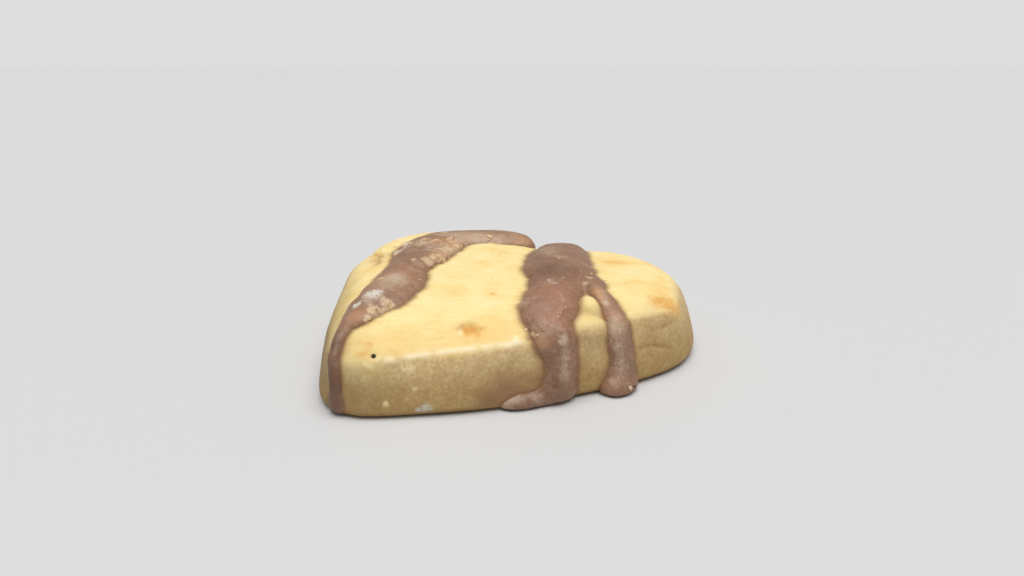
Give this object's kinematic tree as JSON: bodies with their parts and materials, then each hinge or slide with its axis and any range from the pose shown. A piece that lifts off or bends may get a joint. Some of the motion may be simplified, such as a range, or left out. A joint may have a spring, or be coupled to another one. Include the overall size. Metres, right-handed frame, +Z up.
{
  "type": "heart-shaped biscuit",
  "caption": "Thick heart-shaped shortbread biscuit with a flat base, a softly domed top and trails of chocolate icing that cross it and run down its sides.",
  "frame": {"origin": "on the flat base, under the middle of the biscuit's box", "axes": "+Z up out of the iced top, +X across the two lobes, +Y from the heart's point towards the notch between the lobes"},
  "size_m": [0.0628, 0.0594, 0.0146],
  "materials": {
    "biscuit": "matt baked shortbread dough, fine crumb",
    "icing": "set milk-chocolate icing, slightly dusty satin"
  },
  "bodies": {
    "root": {"biscuit": "biscuit"}
  },
  "joints": []
}
